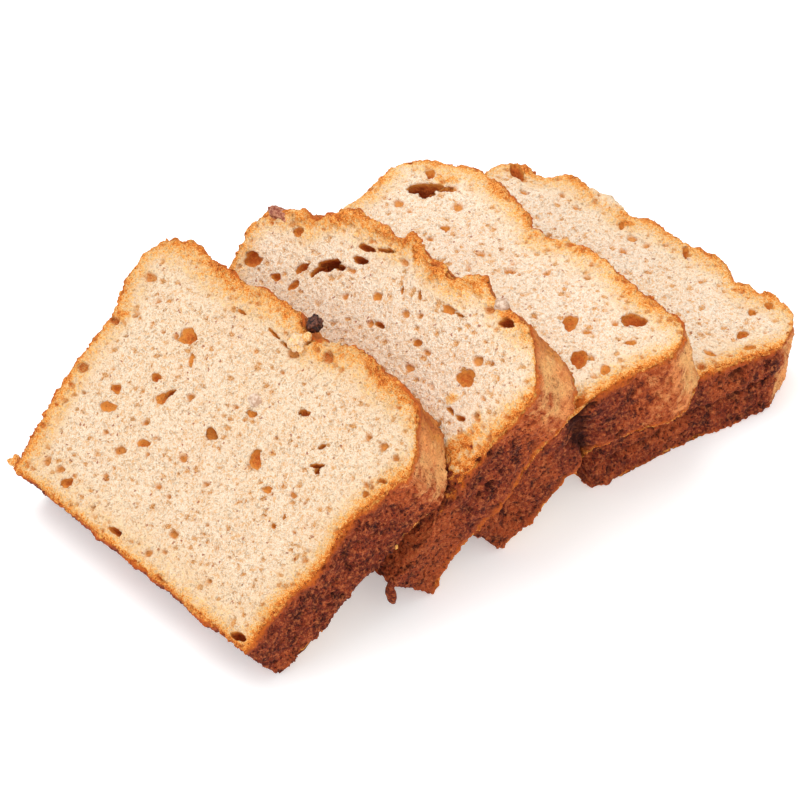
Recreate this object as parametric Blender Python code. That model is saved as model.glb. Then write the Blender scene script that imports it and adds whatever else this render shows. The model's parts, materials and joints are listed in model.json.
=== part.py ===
"""Banana bread: four hand-cut slices lying in a row, as the cut loaf slumped open.

Sizes are in millimetres until a point is placed in the world, which is in metres.
+X runs across the slices, +Y runs along the row from the steepest slice to the
one that lies flat, +Z is up, and the slices stand on z = 0.
"""

import math

import bmesh
import bpy
import numpy as np
from mathutils import Matrix, Vector, noise

MM = 0.001

# The lower left corner of the first slice's back, seen from the row's middle
FIRST_FOOT = (-50.6, -93.8)

# The cut faces of the loaf, in the order of the slices. Each is outlined by its left
# side going up, its domed top going right and its right side going up, as
# (across, up) from the lower left corner. The tin's floor made it 100 mm wide.
# A slice runs from one cut face to the next, and the last one ends at the last face.
FACES = (
    dict(
        left=((0, 0), (-3, 17), (-5, 33), (-4.5, 49), (-8, 61), (-8.5, 70)),
        top=((-8.5, 70), (-7, 75), (-3, 79.5), (5, 82), (14, 81), (24, 81), (36, 83), (47, 83.5),
             (53, 80), (60, 80.5), (72, 85), (80, 83.5), (94, 82.5), (100, 78), (105, 72)),
        right=((100, 0), (101, 17), (104, 30), (102.5, 44), (107, 60), (108.5, 65), (105, 72))),
    dict(
        left=((0, 0), (-3, 17), (-4, 33), (-5, 45), (-6, 54)),
        top=((-6, 54), (-3, 62), (3, 66), (8, 68), (12, 67), (17, 73), (22, 77), (32, 78),
             (42, 79), (46, 82), (51, 80), (65, 79), (73, 84), (80, 81.5), (95, 80), (103, 73)),
        right=((100, 0), (102, 11), (103, 28), (105, 47), (107.5, 58), (108.5, 66), (103, 73))),
    dict(
        left=((0, 0), (-2, 17), (-4, 30), (-5, 41), (-8, 52)),
        top=((-8, 52), (-6, 59), (-1, 64.5), (6, 68.5), (13, 72), (24, 71), (33, 71), (42, 67),
             (49, 69), (56, 73), (67, 74.5), (80, 72.5), (93, 74), (101, 73.5), (106, 70)),
        right=((100, 0), (98.5, 10), (102, 22), (105, 36), (106, 50), (108.5, 62), (106, 70))),
    dict(
        left=((0, 0), (-2, 17), (-4, 30), (-5, 42), (-7.5, 54)),
        top=((-7.5, 54), (-7, 60), (-3, 64), (5, 65), (11, 71.5), (18, 71.5), (27, 73), (36, 72.5),
             (42, 75.5), (58, 77.5), (71, 79), (78, 76), (86, 77), (93, 80), (100, 79), (105, 74)),
        right=((100, 0), (102, 12), (103, 26), (103.5, 40), (106, 53), (109, 65), (105, 74))),
    dict(
        left=((0, 0), (-2, 17), (-4, 30), (-5, 40), (-7, 52)),
        top=((-7, 52), (-4, 60), (4, 65), (16, 69), (30, 72), (45, 75), (60, 76), (76, 77.5),
             (90, 79), (99, 76), (104, 70)),
        right=((100, 0), (102, 12), (103, 28), (105, 44), (107, 56), (107.5, 63), (104, 70))),
)

# Each slice: its back's lower left corner from the first slice's, its turn on the table,
# its lean from upright below and above the stretch where it sags, that stretch's heights,
# and its thickness at the foot and at the loaf's height
LOAF_HEIGHT = 80.0
SLICES = (
    dict(name="slice_1", foot=(0, 0), turn=2.8, lean=(53.5, 54.9), sag=(10, 70), thick=(21.2, 21.2)),
    dict(name="slice_2", foot=(2.5, 56.4), turn=1.0, lean=(40.4, 43.2), sag=(10, 60), thick=(21.4, 21.4)),
    dict(name="slice_3", foot=(1.4, 87.2), turn=-1.8, lean=(49.2, 87.4), sag=(31, 42), thick=(19, 27)),
    dict(name="slice_4", foot=(-1.5, 118.8), turn=0.7, lean=(90, 90), sag=(10, 60), thick=(23.3, 23.3)),
)

# Holes that open on a cut face: (across, up, long, short, tilt in degrees, depth)
HOLES = {
    "slice_1": (
        (21.7, 59.2, 6.2, 4.6, 16, 3.5), (27.2, 41.8, 5.6, 3.0, 27, 4), (14.3, 30.2, 5.8, 3.2, 26, 2.5),
        (12.7, 35.6, 3.4, 2.6, 19, 2), (21.3, 44.8, 3.2, 2.6, 13, 3), (47.7, 41.9, 3.0, 2.6, 0, 2),
        (31.4, 28.2, 4.5, 2.4, 28, 2), (65.3, 43.2, 5.7, 3.9, -38, 3), (82.4, 53.6, 4.4, 2.6, -20, 3),
        (74, 38.7, 3.7, 2.4, 26, 2), (55, 52.6, 3.4, 2.2, 15, 2), (69, 61.4, 3.8, 2.2, 29, 2),
        (95, 2.6, 5.4, 3.0, 12, 4), (41.5, 4.2, 5.1, 2.6, 4, 3)),
    "slice_2": (
        (1.9, 48, 5.8, 4.6, 15, 3.5), (10.5, 62.1, 3.2, 2.6, 21, 2.5), (25, 59.6, 12, 5.2, 20, 7),
        (17.9, 54.3, 4.3, 2.6, 27, 2.5), (34.4, 66.4, 4.8, 2.6, 28, 4), (12.2, 48, 3.2, 2.4, 25, 2),
        (51.8, 55.1, 4.2, 2.4, 27, 2), (66.1, 57.6, 3.4, 2.4, 25, 2), (70.7, 70.8, 5, 2.4, 28, 2.5),
        (86, 58, 6.1, 5.2, 11, 3.5), (89.2, 48.5, 5.3, 2.4, 30, 2.5), (88, 77, 5.6, 3.6, 20, 3.5)),
    "slice_3": (
        (7, 56.2, 12.6, 6.4, 30, 7), (2.1, 60.7, 4.5, 2.9, -37, 3), (23.8, 48.8, 3, 2.6, 41, 2),
        (78.4, 50.6, 6.2, 4.5, -39, 3.5), (90.2, 63.9, 7.3, 5.6, 30, 4.5), (90.8, 43.6, 7.2, 4.8, -39, 4),
        (96.2, 57.9, 3.8, 2.6, 50, 2), (99, 46, 4, 3.4, -35, 2)),
    "slice_4": (
        (-0.9, 60.1, 6.7, 4.8, -47, 4), (38.7, 66.7, 3.7, 2.4, -43, 2.5), (59.7, 73.2, 5.4, 2.4, -43, 3),
        (97.5, 60.4, 3.8, 3.4, -79, 3), (93.2, 75, 3.6, 2.6, -48, 3), (92.1, 69.1, 3, 2.4, -48, 2),
        (97.4, 47.4, 3.6, 2.6, 54, 2), (102.8, 58, 4.0, 3.2, 60, 2)),
}

# The split across the bend of the third slice, open on its face and its right side
SPLIT = dict(slice="slice_3", across=109, up=37.5, reach=17, gape=4.2, depth=14)

# Lumps on the crust: (across, up, depth from the face, width, height, thickness)
LUMPS = {
    "slice_1": ((52.7, 82.0, 1.5, 5.6, 5.2, 5.0), (-2.0, 1.8, 2.5, 5.0, 3.6, 4.0)),
    "slice_2": ((0.6, 64.2, 2.5, 5.6, 3.6, 5.0), (101.2, -0.6, 2.5, 3.0, 6.0, 3.4)),
}

COLUMNS, ROWS, LAYERS = 30, 13, 5     # steps across, up and through one slice
HOLE_SIDES, LUMP_SIDES, SPLIT_SIDES = 8, 10, 12
CURVE_STEPS = 10                      # steps of an outline between two of its points
BEND_STEP = 0.25                      # length of the steps that a sagging back is added up from

CRUST_RELIEF = 0.7                    # bumps on sides and floor
TOP_RELIEF = 1.5                      # crags on the domed top
FACE_RELIEF = 0.25                    # unevenness of a cut face
COARSE_CRAGS, FINE_CRAGS = 7.0, 3.1   # their widths on the crust
FINE_SHARE = 0.4                      # height of the fine crags beside the coarse ones
FACE_WAVES = 9.0                      # width of the swells of a cut face
GRAIN_STEP = 31.7                     # how far apart two slices read the one noise field
CORE = (50.0, 40.0)                   # across and up of the point that the crust's bumps face away from
SWELL, SWELL_DETAIL = 0.25, 3.0       # how lumpy a lump or hole is, and how finely

CRUMB_COLOUR, CRUMB_ROUGHNESS = (0.75, 0.54, 0.33), 0.85     # linear red, green and blue
CRUST_COLOUR, CRUST_ROUGHNESS = (0.30, 0.11, 0.045), 0.7


def smooth_curve(points):
    """Return a function of 0 to 1 that runs evenly along a smooth curve through the points."""
    known = np.array(points, float)
    ends = np.vstack([2 * known[0] - known[1], known, 2 * known[-1] - known[-2]])
    dense = []
    for before, start, stop, after in zip(ends, ends[1:], ends[2:], ends[3:]):
        for s in np.linspace(0, 1, CURVE_STEPS, endpoint=False):
            slope = stop - before
            curve = 2 * before - 5 * start + 4 * stop - after
            twist = 3 * start - before - 3 * stop + after
            dense.append(start + 0.5 * (slope * s + curve * s ** 2 + twist * s ** 3))
    dense = np.array(dense + [known[-1]])
    run = np.concatenate([[0], np.cumsum(np.linalg.norm(np.diff(dense, axis=0), axis=1))])
    run /= run[-1]

    def at(s):
        return np.array([np.interp(s, run, dense[:, 0]), np.interp(s, run, dense[:, 1])])

    return at


def face_patch(face):
    """Return a function of (u, v) that spreads a grid over one cut face between its four sides."""
    left, top, right = (smooth_curve(face[side]) for side in ("left", "top", "right"))
    low_left, low_right, high_left, high_right = left(0), right(0), top(0), top(1)

    def at(u, v):
        floor = low_left + u * (low_right - low_left)
        across = (1 - v) * floor + v * top(u)
        upward = (1 - u) * left(v) + u * right(v)
        corners = (1 - u) * (1 - v) * low_left + u * (1 - v) * low_right
        corners += (1 - u) * v * high_left + u * v * high_right
        return across + upward - corners

    return at


def leaning_back(piece):
    """Return a function of height along the back that gives (y, z, lean) of a sagging slice."""
    low, high = (math.radians(angle) for angle in piece["lean"])
    start, stop = piece["sag"]
    heights = np.arange(-0.2 * LOAF_HEIGHT, 1.4 * LOAF_HEIGHT, BEND_STEP)
    s = np.clip((heights - start) / (stop - start), 0, 1)
    lean = low + (high - low) * s * s * (3 - 2 * s)
    y = np.cumsum(np.sin(lean)) * BEND_STEP
    z = np.cumsum(np.cos(lean)) * BEND_STEP
    y -= np.interp(0, heights, y)
    z -= np.interp(0, heights, z)

    def at(height):
        return [float(np.interp(height, heights, values)) for values in (y, z, lean)]

    return at


def thickness(piece, up):
    """Return how thick the knife left a slice at a height."""
    low, high = piece["thick"]
    return low + (high - low) * up / LOAF_HEIGHT


def placer(piece):
    """Return a function that puts a slice's own (across, up, depth) point in the world, in metres."""
    back = leaning_back(piece)
    turn = Matrix.Rotation(math.radians(piece["turn"]), 3, "Z")
    foot = Vector((FIRST_FOOT[0] + piece["foot"][0], FIRST_FOOT[1] + piece["foot"][1], 0))

    def place(across, up, depth):
        y, z, lean = back(up)
        inward = thickness(piece, up) - depth
        y -= inward * math.cos(lean)
        z += inward * math.sin(lean)
        spot = foot + turn @ Vector((across, y, z))
        return Vector((spot.x, spot.y, max(spot.z, 0))) * MM

    return place


def brick(columns, rows, layers):
    """Return a unit cube, cut by planes into that many steps along each axis."""
    mesh = bmesh.new()
    bmesh.ops.create_cube(mesh, size=1.0, matrix=Matrix.Translation((0.5, 0.5, 0.5)))
    for axis, steps in enumerate((columns, rows, layers)):
        normal = Vector([float(axis == i) for i in range(3)])
        for step in range(1, steps):
            parts = mesh.verts[:] + mesh.edges[:] + mesh.faces[:]
            bmesh.ops.bisect_plane(mesh, geom=parts, plane_co=normal * step / steps, plane_no=normal)
    return mesh


def object_from(mesh, name, collection):
    """Turn a bmesh into a named object in a collection."""
    data = bpy.data.meshes.new(name)
    mesh.to_mesh(data)
    mesh.free()
    piece = bpy.data.objects.new(name, data)
    collection.objects.link(piece)
    return piece


def food_material(name, colour, roughness):
    """Return a plain Principled material; the colour is linear red, green and blue."""
    material = bpy.data.materials.new(name)
    material.use_nodes = True
    shader = material.node_tree.nodes["Principled BSDF"]
    shader.inputs["Base Color"].default_value = (*colour, 1)
    shader.inputs["Roughness"].default_value = roughness
    shader.inputs["Metallic"].default_value = 0
    material.diffuse_color = (*colour, 1)
    return material


def slice_body(piece, near_face, far_face, collection):
    """Build one slice: a brick whose lattice is spread between two cut faces of the loaf."""
    near, far = face_patch(near_face), face_patch(far_face)
    place = placer(piece)
    own_grain = Vector((0, 0, GRAIN_STEP * SLICES.index(piece)))
    mesh = brick(COLUMNS, ROWS, LAYERS)
    mesh.normal_update()
    for face in mesh.faces:
        on_cut = abs(face.normal.z) > 0.5
        face.material_index = 0 if on_cut else 1
        face.smooth = not on_cut
    for vertex in mesh.verts:
        u, v, w = vertex.co
        across, up = (1 - w) * near(u, v) + w * far(u, v)
        depth = w * thickness(piece, up)
        grain = Vector((across, up, depth)) + own_grain
        on_top = v > 0.999
        if on_top or u < 0.001 or u > 0.999 or v < 0.001:
            relief = TOP_RELIEF if on_top else CRUST_RELIEF
            bump = noise.noise(grain / COARSE_CRAGS) + FINE_SHARE * noise.noise(grain / FINE_CRAGS)
            bump *= relief
            outward = Vector((across - CORE[0], up - CORE[1], 0)).normalized()
            across += outward.x * bump
            up += outward.y * bump
        if w < 0.001:
            depth += FACE_RELIEF * noise.noise(grain / FACE_WAVES)
        vertex.co = place(across, up, depth)
    mesh.normal_update()
    bmesh.ops.recalc_face_normals(mesh, faces=mesh.faces)
    body = object_from(mesh, piece["name"], collection)
    number = piece["name"][-1]
    body.data.materials.append(food_material("crumb_" + number, CRUMB_COLOUR, CRUMB_ROUGHNESS))
    body.data.materials.append(food_material("crust_" + number, CRUST_COLOUR, CRUST_ROUGHNESS))
    return body


def add_ellipsoid(mesh, place, centre, sizes, tilt, sides):
    """Add a lumpy ellipsoid to a bmesh, laid out in a slice's own directions."""
    made = bmesh.ops.create_uvsphere(mesh, u_segments=sides, v_segments=sides // 2 + 1, radius=0.5)
    spin = Matrix.Rotation(math.radians(tilt), 3, "Z")
    middle = Vector(centre)
    for vertex in made["verts"]:
        swell = 1 + SWELL * noise.noise(vertex.co * SWELL_DETAIL + middle)
        reach = spin @ Vector([vertex.co[i] * sizes[i] * swell for i in range(3)])
        vertex.co = place(*(middle + reach))


def combine(body, operation, mesh, name, collection):
    """Cut a mesh out of a body, or join it on, with a Boolean modifier that stays live."""
    mesh.normal_update()
    bmesh.ops.recalc_face_normals(mesh, faces=mesh.faces)
    tool = object_from(mesh, name, collection)
    tool.hide_render = True
    tool.display_type = "WIRE"
    modifier = body.modifiers.new(name, "BOOLEAN")
    modifier.operation = operation
    modifier.solver = "EXACT"
    modifier.object = tool


def add_lumps(body, piece, collection):
    """Join on the fruit, nut and crumb lumps that stand out of a slice's crust."""
    mesh = bmesh.new()
    for across, up, depth, *sizes in LUMPS[piece["name"]]:
        add_ellipsoid(mesh, placer(piece), (across, up, depth), sizes, 0, LUMP_SIDES)
    combine(body, "UNION", mesh, piece["name"] + "_lumps", collection)


def cut_holes(body, piece, collection):
    """Cut the larger holes of the crumb into a slice's face."""
    mesh = bmesh.new()
    for across, up, long, short, tilt, depth in HOLES[piece["name"]]:
        add_ellipsoid(mesh, placer(piece), (across, up, 0), (long, short, 2 * depth), tilt, HOLE_SIDES)
    combine(body, "DIFFERENCE", mesh, piece["name"] + "_holes", collection)


def cut_split(body, piece, collection):
    """Cut the crack that opened where the slice sags over its neighbour."""
    mesh = bmesh.new()
    sizes = (2 * SPLIT["reach"], SPLIT["gape"], 2 * SPLIT["depth"])
    add_ellipsoid(mesh, placer(piece), (SPLIT["across"], SPLIT["up"], 0), sizes, 0, SPLIT_SIDES)
    combine(body, "DIFFERENCE", mesh, piece["name"] + "_split", collection)


def main():
    """Clear the scene and lay out the row of slices."""
    for old in list(bpy.data.objects):
        bpy.data.objects.remove(old)
    bread = bpy.data.collections.new("banana_bread")
    cutters = bpy.data.collections.new("cutters")
    for collection in (bread, cutters):
        bpy.context.scene.collection.children.link(collection)
    for piece, near_face, far_face in zip(SLICES, FACES, FACES[1:]):
        body = slice_body(piece, near_face, far_face, bread)
        if piece["name"] in LUMPS:
            add_lumps(body, piece, cutters)
        cut_holes(body, piece, cutters)
        if piece["name"] == SPLIT["slice"]:
            cut_split(body, piece, cutters)


main()
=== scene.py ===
"""The looks of four slices of banana bread that slumped open in a row.

The loaf is worked out flat, slice by slice, in millimetres: across from its left side,
up from the tin's floor, and depth from the nearer cut face. Then each slice is laid
where the frame has it, in metres.
"""

import json
import math

import bmesh
import bpy
import numpy as np
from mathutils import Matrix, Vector, noise

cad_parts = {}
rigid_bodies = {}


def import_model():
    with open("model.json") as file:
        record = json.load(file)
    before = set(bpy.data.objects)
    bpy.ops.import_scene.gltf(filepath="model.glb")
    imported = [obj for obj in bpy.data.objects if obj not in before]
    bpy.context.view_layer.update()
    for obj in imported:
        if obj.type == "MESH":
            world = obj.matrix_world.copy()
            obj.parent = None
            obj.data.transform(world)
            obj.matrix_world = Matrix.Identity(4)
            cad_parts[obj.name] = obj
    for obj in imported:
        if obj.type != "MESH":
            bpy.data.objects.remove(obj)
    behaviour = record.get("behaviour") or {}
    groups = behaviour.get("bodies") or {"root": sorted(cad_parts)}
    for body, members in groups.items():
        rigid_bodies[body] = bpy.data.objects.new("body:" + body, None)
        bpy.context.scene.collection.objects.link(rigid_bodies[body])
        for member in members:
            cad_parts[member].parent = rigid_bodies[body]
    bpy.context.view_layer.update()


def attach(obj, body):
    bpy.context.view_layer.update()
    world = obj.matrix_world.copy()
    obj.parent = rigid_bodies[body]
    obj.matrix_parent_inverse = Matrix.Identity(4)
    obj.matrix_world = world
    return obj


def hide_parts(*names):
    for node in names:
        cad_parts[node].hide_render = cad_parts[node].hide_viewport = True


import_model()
MM = 0.001


# The view of the photograph. A long lens looks down on the row from the front right,
# where the dark side crust shows.
VIEW_AZIMUTH, VIEW_ELEVATION = math.radians(50.29), math.radians(41.95)
VIEW_DISTANCE = 1.329
VIEW_TARGET = Vector((-0.0167, 0.0085, 0.0))
FOCAL_LENGTH = 204.3      # mm, for a sensor 36 mm wide


def add_object(name, data):
    """Add an object that holds the data to the scene."""
    added = bpy.data.objects.new(name, data)
    bpy.context.scene.collection.objects.link(added)
    return added


lens = bpy.data.cameras.new("photo_view")
lens.lens, lens.sensor_width = FOCAL_LENGTH, 36
lens.clip_start, lens.clip_end = 0.01, 20
camera = add_object("photo_view", lens)
towards_camera = Vector((math.sin(VIEW_AZIMUTH) * math.cos(VIEW_ELEVATION),
                         -math.cos(VIEW_AZIMUTH) * math.cos(VIEW_ELEVATION),
                         math.sin(VIEW_ELEVATION)))
camera.location = VIEW_TARGET + VIEW_DISTANCE * towards_camera
camera.rotation_euler = towards_camera.to_track_quat("Z", "Y").to_euler()
bpy.context.scene.camera = camera


# The cut faces of the loaf, in the order of the slices: left side going up, domed top
# going right, right side going up, as (across, up) from the lower left corner. A slice
# runs from one face to the next, and its steps are small enough to carry its pores.
FACES = (
    dict(
        left=((0, 0), (-3, 17), (-5, 33), (-4.5, 49), (-8, 61), (-8.5, 70)),
        top=((-8.5, 70), (-7, 75), (-3, 79.5), (5, 82), (14, 81), (24, 81), (36, 83), (47, 83.5),
             (53, 80), (60, 80.5), (72, 85), (80, 83.5), (94, 82.5), (100, 78), (105, 72)),
        right=((100, 0), (101, 17), (104, 30), (102.5, 44), (107, 60), (108.5, 65), (105, 72))),
    dict(
        left=((0, 0), (-3, 17), (-4, 33), (-5, 45), (-6, 54)),
        top=((-6, 54), (-3, 62), (3, 66), (8, 68), (12, 67), (17, 73), (22, 77), (32, 78),
             (42, 79), (46, 82), (51, 80), (65, 79), (73, 84), (80, 81.5), (95, 80), (103, 73)),
        right=((100, 0), (102, 11), (103, 28), (105, 47), (107.5, 58), (108.5, 66), (103, 73))),
    dict(
        left=((0, 0), (-2, 17), (-4, 30), (-5, 41), (-8, 52)),
        top=((-8, 52), (-6, 59), (-1, 64.5), (6, 68.5), (13, 72), (24, 71), (33, 71), (42, 67),
             (49, 69), (56, 73), (67, 74.5), (80, 72.5), (93, 74), (101, 73.5), (106, 70)),
        right=((100, 0), (98.5, 10), (102, 22), (105, 36), (106, 50), (108.5, 62), (106, 70))),
    dict(
        left=((0, 0), (-2, 17), (-4, 30), (-5, 42), (-7.5, 54)),
        top=((-7.5, 54), (-7, 60), (-3, 64), (5, 65), (11, 71.5), (18, 71.5), (27, 73), (36, 72.5),
             (42, 75.5), (58, 77.5), (71, 79), (78, 76), (86, 77), (93, 80), (100, 79), (105, 74)),
        right=((100, 0), (102, 12), (103, 26), (103.5, 40), (106, 53), (109, 65), (105, 74))),
    dict(
        left=((0, 0), (-2, 17), (-4, 30), (-5, 40), (-7, 52)),
        top=((-7, 52), (-4, 60), (4, 65), (16, 69), (30, 72), (45, 75), (60, 76), (76, 77.5),
             (90, 79), (99, 76), (104, 70)),
        right=((100, 0), (102, 12), (103, 28), (105, 44), (107, 56), (107.5, 63), (104, 70))),
)
STEPS_ACROSS, STEPS_UP, STEPS_THROUGH = 264, 198, 52


def add_node(tree, kind, inputs=(), **settings):
    """Add a node with its settings; inputs maps its sockets to values or to other nodes' outputs."""
    node = tree.nodes.new(kind)
    for setting, value in settings.items():
        setattr(node, setting, value)
    for socket, value in dict(inputs).items():
        if isinstance(value, bpy.types.NodeSocket):
            tree.links.new(value, node.inputs[socket])
        else:
            node.inputs[socket].default_value = value
    return node


def new_tree(name, **numbers):
    """Return a Geometry Nodes tree with a geometry in and out, and an input for each named number."""
    tree = bpy.data.node_groups.new(name, "GeometryNodeTree")
    tree.interface.new_socket("Geometry", in_out="INPUT", socket_type="NodeSocketGeometry")
    tree.interface.new_socket("Geometry", in_out="OUTPUT", socket_type="NodeSocketGeometry")
    for title, value in numbers.items():
        kind = "NodeSocketInt" if isinstance(value, int) else "NodeSocketFloat"
        socket = tree.interface.new_socket(title, in_out="INPUT", socket_type=kind)
        socket.default_value = value
    return tree


def applied(piece, kind, **settings):
    """Return the piece's mesh as a modifier with these settings makes it."""
    modifier = piece.modifiers.new(kind, kind)
    for setting, value in settings.items():
        setattr(modifier, setting, value)
    mesh = bpy.data.meshes.new_from_object(piece.evaluated_get(bpy.context.evaluated_depsgraph_get()))
    piece.modifiers.remove(modifier)
    return mesh


lattice = new_tree("loaf_lattice", steps_across=STEPS_ACROSS, steps_up=STEPS_UP,
                   steps_through=STEPS_THROUGH)
steps = add_node(lattice, "NodeGroupInput").outputs
counts = [add_node(lattice, "ShaderNodeMath", {0: steps[title], 1: 1.0}, operation="ADD").outputs[0]
          for title in ("steps_across", "steps_up", "steps_through")]
brick = add_node(lattice, "GeometryNodeMeshCube", {
    "Size": (1, 1, 1), "Vertices X": counts[0], "Vertices Y": counts[1], "Vertices Z": counts[2]})
solid = add_node(lattice, "GeometryNodeRealizeInstances", {"Geometry": brick.outputs["Mesh"]})
add_node(lattice, "NodeGroupOutput", {"Geometry": solid.outputs["Geometry"]})

seed_piece = add_object("lattice_seed", bpy.data.meshes.new("lattice_seed"))
slab = applied(seed_piece, "NODES", node_group=lattice)
bpy.data.objects.remove(seed_piece)

CURVE_STEPS = 10      # between two points of a side


def smooth_curve(points):
    """Return a function of 0 to 1 that runs evenly along a smooth curve through the points."""
    known = np.array(points, float)
    ends = np.vstack([2 * known[0] - known[1], known, 2 * known[-1] - known[-2]])
    dense = []
    for before, start, stop, after in zip(ends, ends[1:], ends[2:], ends[3:]):
        for s in np.linspace(0, 1, CURVE_STEPS, endpoint=False):
            curve = 2 * before - 5 * start + 4 * stop - after
            twist = 3 * start - before - 3 * stop + after
            dense.append(start + 0.5 * ((stop - before) * s + curve * s ** 2 + twist * s ** 3))
    dense = np.array(dense + [known[-1]])
    run = np.concatenate([[0], np.cumsum(np.linalg.norm(np.diff(dense, axis=0), axis=1))])
    run /= run[-1]
    return lambda s: np.stack([np.interp(s, run, dense[:, 0]), np.interp(s, run, dense[:, 1])], axis=-1)


def face_patch(face, u, v):
    """Spread a grid (u, v) over one cut face between its four sides."""
    left, top, right = (smooth_curve(face[side]) for side in ("left", "top", "right"))
    low_left, low_right, high_left, high_right = left(0), right(0), top(0), top(1)
    across, up = u[:, None], v[:, None]
    floor = low_left + across * (low_right - low_left)
    sides = (1 - up) * floor + up * top(u) + (1 - across) * left(v) + across * right(v)
    corners = (1 - across) * ((1 - up) * low_left + up * high_left)
    corners += across * ((1 - up) * low_right + up * high_right)
    return sides - corners


# How the knife left the slices and how they lie: the first leans on the second, the
# second on the third, and the third sags over the edge of the fourth, which lies flat.
# Each has its foot from the first one's in mm, its turn and its leans below and above its
# sag in degrees, and its thickness in mm at the foot and at the dome.
# pale_from: the share of the height from which the side crust is paler
# torn: how wide a gold rim the knife tore at the back of the crust, in mm
# how much darker and warmer the cut face is painted: painted shade that evens out how brightly the lamps
# light each slice
# lumpy: how much the edge of the dome rises and falls
FIRST_FOOT = (-50.6, -93.8)
LOAF_HEIGHT = 80.0
RISE_STEP = 0.25      # mm, the steps in which a leaning slice's height is summed up
SLICES = (
    dict(name="slice_1", foot=(0, 0), turn=2.8, lean=(53.5, 54.9), sag=(10, 70), thick=(21.2, 21.2),
         pale_from=0.72, torn=0, painted_dim=1.0, lumpy=0.8),
    dict(name="slice_2", foot=(2.5, 56.4), turn=1.0, lean=(40.4, 43.2), sag=(10, 60), thick=(21.4, 21.4),
         pale_from=0.60, torn=2.2, painted_dim=0.2, lumpy=1.1),
    dict(name="slice_3", foot=(1.4, 87.2), turn=-1.8, lean=(49.2, 87.4), sag=(31, 42), thick=(19, 27),
         pale_from=0.60, torn=1.4, painted_dim=0.0, lumpy=0.7),
    dict(name="slice_4", foot=(-1.5, 118.8), turn=0.7, lean=(90, 90), sag=(10, 60), thick=(23.3, 23.3),
         pale_from=0.82, torn=0.6, painted_dim=0.1, lumpy=0.5),
)


def thickness(slice_, up):
    """Return how thick a slice is at a height."""
    low, high = slice_["thick"]
    return low + (high - low) * up / LOAF_HEIGHT


def laid(slice_, flat):
    """Turn flat points (across, up, depth) of a slice in mm into world points in metres."""
    across, up, depth = flat.T
    heights = np.arange(-0.2 * LOAF_HEIGHT, 1.4 * LOAF_HEIGHT, RISE_STEP)
    start, stop = slice_["sag"]
    s = np.clip((heights - start) / (stop - start), 0, 1)
    low, high = np.radians(slice_["lean"])
    lean = low + (high - low) * s * s * (3 - 2 * s)
    back_y, back_z = np.cumsum(np.sin(lean)) * RISE_STEP, np.cumsum(np.cos(lean)) * RISE_STEP
    inward = thickness(slice_, up) - depth
    tilt = np.interp(up, heights, lean)
    y = np.interp(up, heights, back_y) - np.interp(0, heights, back_y) - inward * np.cos(tilt)
    z = np.interp(up, heights, back_z) - np.interp(0, heights, back_z) + inward * np.sin(tilt)
    turn = math.radians(slice_["turn"])
    foot = np.add(FIRST_FOOT, slice_["foot"])
    return MM * np.stack([foot[0] + across * math.cos(turn) - y * math.sin(turn),
                          foot[1] + across * math.sin(turn) + y * math.cos(turn),
                          np.maximum(z, 0)], axis=-1)


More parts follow.
